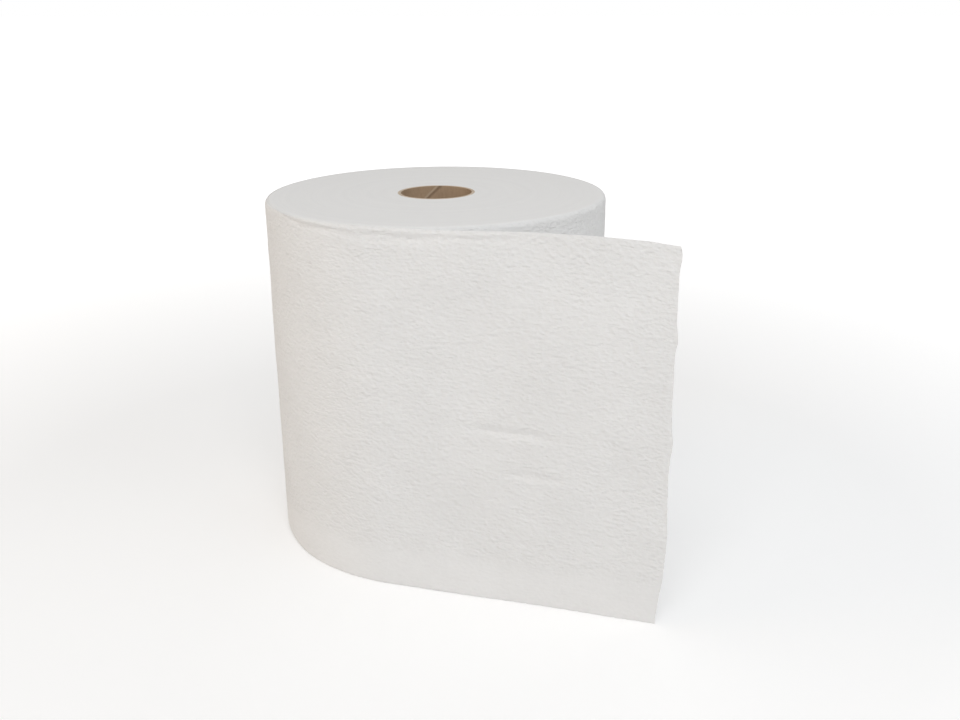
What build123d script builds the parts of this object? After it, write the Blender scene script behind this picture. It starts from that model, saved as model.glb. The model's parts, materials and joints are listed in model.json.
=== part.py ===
"""A paper towel roll, standing on its end, with a length of towel drawn off it.

Frame: the origin is on the core's axis at the roll's lower end, +Z runs up the axis, and the free
towel leaves the roll at its front (-Y) and runs straight along +X.
Two pieces: the spiral-wound cardboard core, and the paper web, which is one continuous strip, so
its turns and its free end are one solid. All sizes are in millimetres.
"""

import os

from build123d import *

# The paper
web_width = 203.2  # the strip's width, and so the roll's height: 8 in
sheet_thickness = 0.4  # one embossed sheet, uncompressed
free_length = 154.0  # from the line where the sheet leaves the roll to its torn end

# The roll
roll_radius = 98.5  # to the outer face of the outermost turn, where the free end leaves it

# The core
core_bore_radius = 20.65  # 1 5/8 in bore
core_wall = 1.8  # several plies of board, glued into one tube

core_outer_radius = core_bore_radius + core_wall
wound_radius = roll_radius - sheet_thickness  # the turns under the outermost one


def web_outline():
    """The web seen from above: its outline, and the round hole that the core fills.

    The outermost turn climbs over the end of the turn below it through the left half, so its
    outer face is an arc that starts on the lower turns at the back and is one sheet further out
    where it leaves the roll at the front. The free end's inner face runs on from the same line.
    """
    back = (0, wound_radius)
    climbing = (-(wound_radius + sheet_thickness / 2), -sheet_thickness / 2)
    leaves_outside = (0, -roll_radius)
    leaves_inside = (0, -wound_radius)
    torn_outside = (free_length, -roll_radius)
    torn_inside = (free_length, -wound_radius)
    with BuildSketch() as outline:
        with BuildLine():
            ThreePointArc(back, climbing, leaves_outside)
            Line(leaves_outside, torn_outside)
            Line(torn_outside, torn_inside)
            Line(torn_inside, leaves_inside)
            ThreePointArc(leaves_inside, (wound_radius, 0), back)
        make_face()
        Circle(core_outer_radius, mode=Mode.SUBTRACT)
    return outline.sketch


def paper_web():
    """The whole strip of towel, every turn and the free end, with the roll's ends sawn flat."""
    return extrude(web_outline(), amount=web_width)


def cardboard_core():
    """The tube that the web is wound on, sawn off flush with it at both ends."""
    with BuildSketch() as ring:
        Circle(core_outer_radius)
        Circle(core_bore_radius, mode=Mode.SUBTRACT)
    return extrude(ring.sketch, amount=web_width)


os.makedirs("parts", exist_ok=True)
export_step(paper_web(), "parts/paper_web.step")
export_step(cardboard_core(), "parts/cardboard_core.step")
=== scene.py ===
import json
import math

import bpy
import numpy as np
from mathutils import Matrix, Vector


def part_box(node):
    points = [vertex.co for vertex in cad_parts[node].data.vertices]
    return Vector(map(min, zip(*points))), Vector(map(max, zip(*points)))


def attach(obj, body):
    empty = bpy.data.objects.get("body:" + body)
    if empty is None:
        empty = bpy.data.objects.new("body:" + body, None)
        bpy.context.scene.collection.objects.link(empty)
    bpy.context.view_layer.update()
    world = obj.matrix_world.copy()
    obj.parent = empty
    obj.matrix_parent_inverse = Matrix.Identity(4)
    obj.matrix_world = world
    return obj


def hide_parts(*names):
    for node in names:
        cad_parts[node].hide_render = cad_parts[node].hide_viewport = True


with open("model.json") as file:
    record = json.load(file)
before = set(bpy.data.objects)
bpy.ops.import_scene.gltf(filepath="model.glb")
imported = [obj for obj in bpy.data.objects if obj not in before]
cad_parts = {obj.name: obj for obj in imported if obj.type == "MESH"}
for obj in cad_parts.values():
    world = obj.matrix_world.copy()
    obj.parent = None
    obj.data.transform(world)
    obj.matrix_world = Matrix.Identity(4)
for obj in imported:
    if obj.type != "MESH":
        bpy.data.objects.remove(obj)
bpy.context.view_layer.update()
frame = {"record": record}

# A paper towel roll on its end. The towel is one strip: it goes once round the roll as its
# outermost turn, leaves it at the front and runs along +X to a torn end. Places on the strip are
# (along, up): along is 0 where it leaves the roll, and negative back round the roll.

MM = 0.001
web_low, web_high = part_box("paper_web")
core_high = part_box("cardboard_core")[1]
bore = next(m for m in frame["record"]["mounts"] if m["name"] == "core_bore")

HEIGHT = web_high.z
WOUND_RADIUS = web_high.y
SHEET = -web_low.y - WOUND_RADIUS  # the outermost turn leaves the roll one sheet further out
FREE_LENGTH = web_high.x
TURN_LENGTH = 2 * math.pi * WOUND_RADIUS
CORE_OUTER = core_high.x
CORE_BORE = bore["dims"]["r_mm"] * MM

SHOULDER = 2.7 * MM  # radius of the soft rim of the roll
SMOOTH_BAND = 26 * MM  # the strip's lower margin is embossed less deeply
PLIES = 4
CORE_HELIX = 118 * MM  # how far the inner ply's seam climbs in one turn
SEAM_START = 0.497  # the share of a turn at which it starts

# The strip's mesh: columns round the back, on the front of the roll and on the free end
BACK_COLUMNS, FRONT_COLUMNS, FREE_COLUMNS = 172, 134, 124
MIDDLE_ROWS = 150
FRONT_SHARE = 0.27  # the share of the last turn that has the closer columns

# Creases in the strip, in millimetres: start (along, up), end, depth and half the width
CREASES = (
    ((47, 99.9), (98, 98.7), 1.25, 2.1),  # across the middle of the free end
    ((65, 76.8), (103, 75.8), 0.95, 1.9),
    ((-64, 201.6), (-10, 198.6), 1.1, 1.1),  # under the lip at the left front
    ((-16, 198.6), (78, 199.6), 0.8, 1.1),  # under the upper margin
    ((-12, 196.6), (33, 197.6), 0.9, 2.0),  # a dent below that
)
RIDGES = (
    ((-64, 203.6), (-6, 200.8), 0.7, 1.0),  # the lip
    ((-6, 200.6), (74, 201.6), 0.35, 0.9),  # the upper margin
)
CREASE_TAPER = 8 * MM

# The torn end's soft bulges, in millimetres: height, reach and spread
BULGES = ((157, 1.1, 6), (103, 1.2, 8), (52, 0.9, 14), (198, 1.0, 5))


# ---------------------------------------------------------------- shaping functions

def ease(low, high, value):
    """0 below low, 1 above high, and smooth between them."""
    t = np.clip((value - low) / (high - low), 0, 1)
    return t * t * (3 - 2 * t)


def window(low, high, soft, value):
    """1 between low and high, fading to 0 past either one, within soft on each side of it."""
    return ease(low - soft, low + soft, value) * (1 - ease(high - soft, high + soft, value))


def field(u, v, seed):
    """Smooth noise from -1 to 1, with one random value at each whole u and v."""
    size = 257
    lattice = np.random.default_rng(seed).uniform(-1, 1, (size, size))
    u, v = np.broadcast_arrays(u, v)
    iu, iv = np.floor(u).astype(int), np.floor(v).astype(int)
    fu, fv = ease(0, 1, u - iu), ease(0, 1, v - iv)
    a, b = lattice[iu % size, iv % size], lattice[(iu + 1) % size, iv % size]
    c, d = lattice[iu % size, (iv + 1) % size], lattice[(iu + 1) % size, (iv + 1) % size]
    return (a * (1 - fu) + b * fu) * (1 - fv) + (c * (1 - fu) + d * fu) * fv


def crease(along, up, start, end, depth, half_width):
    """How deep a crease from start to end is: depth on its line, fading to 0 at its ends."""
    share = np.clip((along - start[0]) / (end[0] - start[0]), 0, 1)
    wander = 0.4 * MM * field(along / (9 * MM), 3.5, 61)
    line = start[1] + share * (end[1] - start[1]) + wander
    inside = CREASE_TAPER / 2
    lengthways = window(start[0] + inside, end[0] - inside, CREASE_TAPER, along)
    return depth * lengthways * np.exp(-((up - line) / half_width) ** 2)


# ---------------------------------------------------------------- mesh building

def mesh_piece(name, points, faces, uv=None, emboss=None):
    """A smooth-shaded mesh object, with its places on the strip and how deeply it is embossed."""
    mesh = bpy.data.meshes.new(name)
    mesh.from_pydata(points.tolist(), [], faces.tolist())
    if uv is not None:
        corners = np.zeros(len(mesh.loops), np.int32)
        mesh.loops.foreach_get("vertex_index", corners)
        layer = mesh.uv_layers.new(name="strip")
        layer.data.foreach_set("uv", uv[corners].astype(np.float32).ravel())
    if emboss is not None:
        attribute = mesh.attributes.new("emboss", "FLOAT", "POINT")
        attribute.data.foreach_set("value", emboss.astype(np.float32))
    mesh.polygons.foreach_set("use_smooth", np.ones(len(mesh.polygons), bool))
    mesh.update()
    mesh.set_sharp_from_angle(angle=math.radians(50))
    piece = bpy.data.objects.new(name, mesh)
    bpy.context.scene.collection.objects.link(piece)
    return piece


def quads(index, flip=False):
    """The faces of a grid of point numbers."""
    a, b, c, d = index[:-1, :-1], index[1:, :-1], index[1:, 1:], index[:-1, 1:]
    ring = (a, d, c, b) if flip else (a, b, c, d)
    return np.stack(ring, axis=-1).reshape(-1, 4)


def turned(radius, angle, z, flip=False):
    """The points and faces of a closed outline turned about Z. The last angle is the first."""
    points = np.stack([radius * np.cos(angle), radius * np.sin(angle), z], axis=-1)[:, :-1]
    rows, columns = points.shape[:2]
    index = np.arange(rows * columns).reshape(rows, columns)
    index = np.concatenate([index, index[:, :1]], axis=1)
    index = np.concatenate([index, index[:1]], axis=0)
    return points.reshape(-1, 3), quads(index, flip)


# ---------------------------------------------------------------- the towel strip

def strip_along():
    """Places along the strip, closer together where its relief shows most."""
    front = -FRONT_SHARE * TURN_LENGTH
    on_back = np.linspace(-TURN_LENGTH, front, BACK_COLUMNS)[:-1]
    on_front = np.linspace(front, 0, FRONT_COLUMNS)[:-1]
    on_free_end = np.linspace(0, FREE_LENGTH, FREE_COLUMNS)
    return np.concatenate([on_back, on_front, on_free_end])


def strip_up():
    """Heights across the strip, closer together at its two edges."""
    edge = np.array([0, 0.35, 0.8, 1.5, 2.4]) * MM
    margin = 3.6 * MM
    middle = np.linspace(margin, HEIGHT - margin, MIDDLE_ROWS)
    return np.concatenate([edge, middle, HEIGHT - edge[::-1]])


def strip_relief(along, up):
    """How far the strip stands out from its plain path: its embossing, waves and creases."""
    free = ease(-20 * MM, 60 * MM, along)
    lower = ease(SMOOTH_BAND - 8 * MM, SMOOTH_BAND + 6 * MM, up)
    emboss = 0.10 * MM * field(along / (3.1 * MM), up / (1.9 * MM), 11)
    emboss += 0.06 * MM * field(along / (1.9 * MM), up / (2.7 * MM), 12)
    relief = emboss * (0.35 + 0.65 * lower)
    relief += 0.16 * MM * field(along / (17 * MM), up / (11 * MM), 13)
    relief += (0.25 + 0.55 * free) * MM * field(along / (46 * MM), up / (38 * MM), 14)
    for shapes, way in ((CREASES, -1), (RIDGES, 1)):
        for start, end, depth, half_width in shapes:
            ends = [(a * MM, u * MM) for a, u in (start, end)]
            relief += way * crease(along, up, *ends, depth * MM, half_width * MM)
    return relief - faint_wrinkles(along, up)


def faint_wrinkles(along, up):
    """How deep the shallow, nearly level wrinkles are, scattered over the front."""
    places = np.random.default_rng(23)
    total = 0
    for _ in range(22):
        start = (places.uniform(-90, 115) * MM, places.uniform(12, 190) * MM)
        length = places.uniform(12, 42) * MM
        rise = places.uniform(-0.16, 0.08) * length
        end = (start[0] + length, start[1] + rise)
        depth = places.uniform(0.10, 0.26) * MM
        total = total + crease(along, up, start, end, depth, places.uniform(1.1, 2.0) * MM)
    return total


def torn_end(up):
    """How far the torn end reaches past its plain length: soft bulges and a ragged tear."""
    reach = -0.9 * MM + 0.22 * MM * field(up / (1.7 * MM), 0.5, 31)
    for height, bulge, spread in BULGES:
        reach += bulge * MM * np.exp(-((up - height * MM) / (spread * MM)) ** 2)
    reach -= 0.5 * MM * ease(HEIGHT - 1.5 * MM, HEIGHT, up)
    return reach - 3.0 * MM * (1 - ease(0, 34 * MM, up))


def rolled_rim(along):
    """1 where the strip's edges have rolled over the roll's soft rim, less where they stand."""
    return 1 - 0.8 * ease(-0.17 * TURN_LENGTH, -0.09 * TURN_LENGTH, along)


def edge_rise(along, up):
    """How much higher the strip lies than on a true roll: its lifted top and its frayed foot."""
    rise = 1.35 * MM * window(56 * MM, 130 * MM, 26 * MM, along)
    rise = rise - 1.1 * MM * ease(138 * MM, FREE_LENGTH, along)
    wide_fray = np.abs(field(along / (2.3 * MM), 0.5, 41))
    fine_fray = np.abs(field(along / (0.9 * MM), 0.5, 42))
    foot = 0.45 * MM * (wide_fray + 0.6 * fine_fray) * (1 - ease(0, 3 * MM, up))
    return rise * ease(0.72 * HEIGHT, HEIGHT, up) + foot


def strip_points(along, up, inset=0.0):
    """Places on the strip as points in space, inset towards its inner face."""
    rim = rolled_rim(along)
    edge = 1 - ease(0, 9 * MM, np.minimum(up, HEIGHT - up))
    out = strip_relief(along, up) * (1 - 0.8 * rim * edge) - inset
    lip = window(-66 * MM, -26 * MM, 15 * MM, along)
    out += 0.8 * MM * lip * ease(HEIGHT - 9 * MM, HEIGHT, up) ** 2

    past_top = np.clip(up - (HEIGHT - SHOULDER), 0, None)
    past_bottom = np.clip(SHOULDER - up, 0, None)
    bend = rim / SHOULDER
    out -= (1 - np.cos(bend * (past_top + past_bottom))) / bend
    z = up - past_top + np.sin(bend * past_top) / bend
    z = z + past_bottom - np.sin(bend * past_bottom) / bend + edge_rise(along, up)

    climb = ease(-0.5 * TURN_LENGTH, -0.02 * TURN_LENGTH, along)
    radius = WOUND_RADIUS + SHEET * climb + out
    angle = np.minimum(along, 0) / WOUND_RADIUS - math.pi / 2
    stretch = 1 + torn_end(up) / FREE_LENGTH * ease(0, FREE_LENGTH, along)
    x = radius * np.cos(angle) + np.maximum(along, 0) * stretch
    y = radius * np.sin(angle)
    return np.stack(np.broadcast_arrays(x, y, z), axis=-1)


def towel_strip():
    """The outermost turn and the free end, as one strip with both faces on its free end."""
    along, up = strip_along(), strip_up()
    free = along >= -1e-9
    wrapped = ~free
    wrapped[np.argmax(free)] = True  # the two stretches share the column where they meet
    margin = np.array([0.0, 2.5, 6.0]) * MM
    outer = np.meshgrid(along, up, indexing="ij")
    inner = np.meshgrid(along[free], up, indexing="ij")
    top = np.meshgrid(along[wrapped], HEIGHT - margin, indexing="ij")
    bottom = np.meshgrid(along[wrapped], margin, indexing="ij")

    places = [outer, inner, top, bottom]
    insets = [0.0, SHEET, 1.1 * SHEET, 1.1 * SHEET]
    starts = np.cumsum([0] + [a.size for a, _ in places])
    o, i, t, b = [start + np.arange(a.size).reshape(a.shape) for (a, _), start in zip(places, starts)]
    faces = [
        quads(o),
        quads(i, flip=True),
        quads(np.stack([o[free][:, -1], i[:, -1]], axis=1)),
        quads(np.stack([i[:, 0], o[free][:, 0]], axis=1)),
        quads(np.stack([i[-1], o[-1]], axis=1), flip=True),
        quads(np.concatenate([o[wrapped][:, -1:], t], axis=1)),
        quads(np.concatenate([o[wrapped][:, :1], b], axis=1), flip=True),
    ]
    points = np.concatenate([strip_points(a, u, inset).reshape(-1, 3)
                             for (a, u), inset in zip(places, insets)])
    uv = np.concatenate([np.stack(place, axis=-1).reshape(-1, 2) for place in places])
    emboss = 0.3 + 0.7 * ease(SMOOTH_BAND - 7 * MM, SMOOTH_BAND + 4 * MM, uv[:, 1])
    return mesh_piece("towel_strip", points, np.concatenate(faces), uv, emboss)


# ---------------------------------------------------------------- the turns under it

def end_face_relief(radius, angle):
    """How far the sawn edges of the turns stand above or below the flat end."""
    turning = radius + SHEET * angle / (2 * math.pi)
    wide = 0.10 * MM * field(turning / (6.5 * MM), 1.5 + np.cos(angle), 51)
    fine = 0.10 * MM * field(turning / (1.0 * MM), 4 + 1.4 * np.sin(angle), 52)
    soft = 0.8 * MM
    fades = window(CORE_OUTER + soft, WOUND_RADIUS - 3 * MM, soft, radius)
    return (wide + fine - 0.06 * MM) * fades


def wound_turns():
    """Every turn under the outermost one: a soft-rimmed ring whose ends show the turns' edges."""
    end_rows, rim_rows, side_rows = 86, 7, 6
    wall = WOUND_RADIUS - 0.35 * MM
    end_r = np.linspace(CORE_OUTER, wall - SHOULDER, end_rows)
    bend = np.linspace(0, math.pi / 2, rim_rows + 1)[1:]
    rim_r = wall - SHOULDER + SHOULDER * np.sin(bend)
    rim_z = HEIGHT - SHOULDER + SHOULDER * np.cos(bend)
    side_z = np.linspace(HEIGHT - SHOULDER, SHOULDER, side_rows + 2)[1:-1]
    r = np.concatenate([end_r, rim_r, np.full(side_rows, wall), rim_r[::-1], end_r[::-1]])
    z = np.concatenate([np.full(end_rows, HEIGHT), rim_z, side_z, HEIGHT - rim_z[::-1],
                        np.zeros(end_rows)])
    outward = np.repeat([1, 0, -1], [end_rows + rim_rows, side_rows, end_rows + rim_rows])
    rr, aa = np.meshgrid(r, np.linspace(0, 2 * math.pi, 289), indexing="ij")
    zz = z[:, None] + outward[:, None] * end_face_relief(rr, aa)
    points, faces = turned(rr, aa, np.maximum(zz, 0))
    return mesh_piece("wound_turns", points, faces)


# ---------------------------------------------------------------- the core

def core_tube():
    """The board tube: its inner ply's spiral seam, and the edges of its plies at both ends."""
    step = np.linspace(0, 1, 4 * PLIES + 1)
    end_r = CORE_BORE + (CORE_OUTER - CORE_BORE) * step
    end_relief = 0.09 * MM * np.cos(2 * math.pi * PLIES * step)
    recess = 0.1 * MM
    inside_z = np.linspace(0, HEIGHT, 150)[1:-1]
    r = np.concatenate([end_r[::-1], np.full(len(inside_z), CORE_BORE), end_r])
    z = np.concatenate([HEIGHT - recess + end_relief[::-1], inside_z[::-1], recess - end_relief])
    on_bore = np.repeat([0, 1, 0], [len(step) - 1, len(inside_z) + 2, len(step) - 1])
    rr, aa = np.meshgrid(r, np.linspace(0, 2 * math.pi, 145), indexing="ij")
    zz = np.repeat(z[:, None], aa.shape[1], axis=1)
    phase = np.mod(zz / CORE_HELIX + aa / (2 * math.pi) + SEAM_START, 1)
    seam = -0.32 * MM * np.exp(-((phase - 0.5) * CORE_HELIX / (1.3 * MM)) ** 2)
    overlap = 0.12 * MM * (ease(0.5, 0.506, phase) - ease(0.5, 1.0, phase))
    ripple = 0.05 * MM * field(zz / (7 * MM), 3 + 2.5 * np.cos(aa), 71)
    rr = rr - on_bore[:, None] * (seam + overlap + ripple)
    points, faces = turned(rr, aa, zz, flip=True)
    uv = np.stack([aa[:, :-1] / (2 * math.pi), zz[:, :-1]], axis=-1).reshape(-1, 2)
    return mesh_piece("core_tube", points, faces, uv)


# ---------------------------------------------------------------- materials

class Nodes:
    """A short way to add and join the nodes of one shader tree."""

    def __init__(self, tree):
        self.tree = tree

    def add(self, kind, inputs=None, **settings):
        node = self.tree.nodes.new("ShaderNode" + kind)
        for key, value in settings.items():
            setattr(node, key, value)
        for key, value in (inputs or {}).items():
            if isinstance(value, bpy.types.NodeSocket):
                self.tree.links.new(value, node.inputs[key])
            else:
                node.inputs[key].default_value = value
        return node

    def math(self, operation, *values):
        return self.add("Math", dict(enumerate(values)), operation=operation).outputs[0]

    def weighed(self, a, a_share, b, b_share):
        return self.math("MULTIPLY_ADD", a, a_share, self.math("MULTIPLY", b, b_share))

    def noise(self, where, scale, detail, rough):
        inputs = {"Vector": where, "Scale": scale, "Detail": detail, "Roughness": rough}
        return self.add("TexNoise", inputs).outputs["Fac"]

    def scaled(self, where, scale):
        return self.add("Mapping", {"Vector": where, "Scale": scale}).outputs[0]

    def mix(self, factor, a, b):
        return self.add("Mix", {0: factor, 6: a, 7: b}, data_type="RGBA").outputs[2]

    def ramp(self, value, start, stop, low, high):
        return self.add("MapRange", {0: value, 1: start, 2: stop, 3: low, 4: high}).outputs[0]

    def bump(self, height, distance, strength, **under):
        inputs = {"Height": height, "Distance": distance, "Strength": strength, **under}
        return self.add("Bump", inputs).outputs["Normal"]


def new_material(name):
    """A material, its nodes and its main shader."""
    material = bpy.data.materials.new(name)
    material.use_nodes = True
    tree = material.node_tree
    return material, Nodes(tree), tree.nodes["Principled BSDF"]


def make_matt(nodes, shader, colour, normal, roughness):
    """A matt finish with that colour and relief."""
    nodes.tree.links.new(colour, shader.inputs["Base Color"])
    nodes.tree.links.new(normal, shader.inputs["Normal"])
    shader.inputs["Roughness"].default_value = roughness
    shader.inputs["Specular IOR Level"].default_value = 0.18


def towel_paper():
    """White embossed towel: short level dashes and dots, loose fibres, cloudy tone, and painted shade
    in the hollows of the dashes.
    """
    material, n, shader = new_material("towel_paper")
    strip = n.add("UVMap", uv_map="strip").outputs[0]
    dashes = n.noise(n.scaled(strip, (300, 600, 1)), 1.0, 3.0, 0.6)
    spots = {"Vector": n.scaled(strip, (430, 560, 1)), "Scale": 1.0, "Smoothness": 0.6}
    dots = n.add("TexVoronoi", spots, feature="SMOOTH_F1").outputs["Distance"]
    fibres = n.noise(n.scaled(strip, (1700, 4200, 1)), 1.0, 2.0, 0.7)
    clouds = n.noise(strip, 28.0, 4.0, 0.6)
    emboss = n.add("Attribute", attribute_name="emboss").outputs["Fac"]
    relief = n.math("MULTIPLY", n.math("MULTIPLY_ADD", dots, 0.5, dashes), emboss)
    normal = n.bump(fibres, 0.09 * MM, 0.6, Normal=n.bump(relief, 0.95 * MM, 0.9))
    # The tone is partly painted shade, darker in the hollows of the dashes, and partly the paper's
    # own cloudy tone.
    tone = n.weighed(dashes, 0.35, clouds, 0.65)
    colour = n.mix(tone, (0.765, 0.758, 0.748, 1), (0.89, 0.887, 0.882, 1))
    shader.inputs["Sheen Weight"].default_value = 0.08
    shader.inputs["Sheen Roughness"].default_value = 0.6
    make_matt(n, shader, colour, normal, 0.92)
    return material


def turn_edges():
    """The sawn ends of the turns: close rings with painted shade in the grooves between them, and
    soft lint.
    """
    material, n, shader = new_material("turn_edges")
    place = n.add("TexCoord").outputs["Object"]
    parts = n.add("SeparateXYZ", {0: place})
    flat = n.add("CombineXYZ", {0: parts.outputs[0], 1: parts.outputs[1]}).outputs[0]
    radius = n.add("VectorMath", {0: flat}, operation="LENGTH").outputs["Value"]
    drift = n.math("MULTIPLY", n.noise(place, 9.0, 2.0, 0.55), 0.004)
    ring = n.add("CombineXYZ", {0: n.math("ADD", radius, drift)}).outputs[0]
    rings = n.noise(ring, 1500.0, 3.0, 0.65)
    bands = n.noise(ring, 190.0, 3.0, 0.6)
    lint = n.noise(place, 1900.0, 3.0, 0.7)
    normal = n.bump(lint, 0.14 * MM, 0.55, Normal=n.bump(rings, 0.16 * MM, 0.55))
    # The tone is partly painted shade, greyer in the grooves between the rings, and partly broad
    # bands of the paper's own tone.
    tone = n.weighed(rings, 0.4, bands, 0.6)
    colour = n.mix(tone, (0.79, 0.783, 0.772, 1), (0.88, 0.875, 0.866, 1))
    make_matt(n, shader, colour, normal, 0.95)
    return material


def core_board():
    """Brown board: a paler cut rim, flecked fibres, and a dark seam with a pale edge."""
    material, n, shader = new_material("core_board")
    place = n.add("TexCoord").outputs["Object"]
    fibres = n.noise(n.scaled(place, (1, 1, 0.35)), 900.0, 4.0, 0.7)
    clouds = n.noise(place, 60.0, 4.0, 0.6)
    tone = n.weighed(fibres, 0.5, clouds, 0.5)
    colour = n.mix(tone, (0.26, 0.165, 0.10, 1), (0.60, 0.45, 0.31, 1))

    parts = n.add("SeparateXYZ", {0: n.add("UVMap", uv_map="strip").outputs[0]})
    climbed = n.math("DIVIDE", parts.outputs[1], CORE_HELIX)
    phase = n.math("ADD", n.math("ADD", climbed, parts.outputs[0]), SEAM_START)
    past_seam = n.math("SUBTRACT", n.math("FRACT", phase), 0.5)
    seam = n.ramp(n.math("ABSOLUTE", past_seam), 0.003, 0.012, 1.0, 0.0)
    colour = n.mix(n.math("MULTIPLY", seam, 0.4), colour, (0.12, 0.075, 0.045, 1))
    beside = n.math("ABSOLUTE", n.math("SUBTRACT", past_seam, 0.016))
    colour = n.mix(n.ramp(beside, 0.002, 0.011, 0.55, 0.0), colour, (0.66, 0.54, 0.40, 1))

    up = n.add("SeparateXYZ", {0: n.add("NewGeometry").outputs["Normal"]}).outputs[2]
    rim = n.ramp(n.math("ABSOLUTE", up), 0.5, 0.9, 0.0, 0.8)
    colour = n.mix(rim, colour, (0.74, 0.67, 0.57, 1))
    make_matt(n, shader, colour, n.bump(fibres, 0.12 * MM, 0.6), 0.88)
    return material


# ---------------------------------------------------------------- pieces

def dress(piece, material, node):
    """Gives a piece its material, puts it under the root body, and hides the CAD node that it stands
    for.
    """
    piece.data.materials.append(material)
    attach(piece, "root")
    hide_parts(node)


strip = towel_strip()
dress(strip, towel_paper(), "paper_web")
dress(wound_turns(), turn_edges(), "paper_web")
dress(core_tube(), core_board(), "cardboard_core")


# ---------------------------------------------------------------- floor, light and camera

def seen_white(nodes, shade, lift, output):
    """Adds a plain glow of strength lift, only for what the camera or a reflection sees."""
    path = nodes.add("LightPath").outputs
    seen = nodes.math("MAXIMUM", path["Is Camera Ray"], path["Is Glossy Ray"])
    seen = nodes.math("MAXIMUM", seen, path["Is Transmission Ray"])
    glow = nodes.add("Emission", {"Strength": nodes.math("MULTIPLY", seen, lift)}).outputs[0]
    both = nodes.add("AddShader", {0: shade, 1: glow}).outputs[0]
    nodes.tree.links.new(both, nodes.tree.nodes[output].inputs["Surface"])


def pale_floor():
    """A plain matt floor, larger than any view needs, that fades to white away from the roll."""
    size = 12.0
    mesh = bpy.data.meshes.new("floor")
    corners = [(-size, -size, 0), (size, -size, 0), (size, size, 0), (-size, size, 0)]
    mesh.from_pydata(corners, [], [(0, 1, 2, 3)])
    floor = bpy.data.objects.new("floor", mesh)
    bpy.context.scene.collection.objects.link(floor)
    material, n, shader = new_material("floor")
    shader.inputs["Base Color"].default_value = (0.86, 0.86, 0.86, 1)
    shader.inputs["Roughness"].default_value = 1.0
    shader.inputs["Specular IOR Level"].default_value = 0.0
    place = n.add("TexCoord").outputs["Object"]
    radius = n.add("VectorMath", {0: place}, operation="LENGTH").outputs["Value"]
    seen_white(n, shader.outputs[0], n.ramp(radius, 0.3, 1.2, 0.22, 0.75), "Material Output")
    mesh.materials.append(material)


def soft_world(ambient):
    """An even white surround: ambient for the object, plain white where it is seen."""
    world = bpy.data.worlds.new("studio")
    bpy.context.scene.world = world
    world.use_nodes = True
    shade = world.node_tree.nodes["Background"]
    shade.inputs["Color"].default_value = (1, 1, 1, 1)
    shade.inputs["Strength"].default_value = ambient
    seen_white(Nodes(world.node_tree), shade.outputs[0], 1 - ambient, "World Output")


def panel(name, bearing, elevation, distance, size, power, colour):
    """A square light panel that faces the roll. Bearing 0 is straight in front, at -Y."""
    data = bpy.data.lights.new(name, "AREA")
    data.shape = "SQUARE"
    data.size = size
    data.energy = power
    data.color = colour
    lamp = bpy.data.objects.new(name, data)
    bpy.context.scene.collection.objects.link(lamp)
    b, e = math.radians(bearing), math.radians(elevation)
    away = Vector((math.sin(b) * math.cos(e), -math.cos(b) * math.cos(e), math.sin(e)))
    lamp.location = Vector((0, 0, HEIGHT / 2)) + away * distance
    lamp.rotation_mode = "QUATERNION"
    lamp.rotation_quaternion = (-away).to_track_quat("-Z", "Y")


def camera():
    """The camera stands in front, a little to the right and above, and looks slightly down."""
    bearing, distance, height = math.radians(19.3), 0.621, 0.315
    turn, dip, lean = math.radians(17.03), math.radians(19.16), math.radians(-0.5)
    data = bpy.data.cameras.new("camera")
    data.sensor_width = 36
    data.lens = 40.1
    data.clip_start, data.clip_end = 0.05, 50
    cam = bpy.data.objects.new("camera", data)
    bpy.context.scene.collection.objects.link(cam)
    level_forward = Vector((-math.sin(turn), math.cos(turn), 0))
    forward = level_forward * math.cos(dip) - Vector((0, 0, math.sin(dip)))
    level = Vector((math.cos(turn), math.sin(turn), 0))
    above = level.cross(forward)
    right = level * math.cos(lean) + above * math.sin(lean)
    upward = above * math.cos(lean) - level * math.sin(lean)
    rotation = Matrix((right, upward, -forward)).transposed()
    place = Vector((distance * math.sin(bearing), -distance * math.cos(bearing), height))
    cam.matrix_world = Matrix.Translation(place) @ rotation.to_4x4()
    bpy.context.scene.camera = cam


pale_floor()
soft_world(0.44)
panel("key", 14, 42, 1.8, 1.3, 13.2, (0.98, 0.99, 1.0))
panel("warm_side", -66, 12, 2.0, 1.2, 6.4, (1.0, 0.73, 0.45))
panel("cool_side", 82, 34, 2.0, 1.4, 4.6, (0.93, 0.97, 1.0))
panel("back", 168, 38, 2.2, 1.6, 4.0, (1.0, 1.0, 1.0))
camera()
bpy.context.scene.view_settings.view_transform = "Standard"
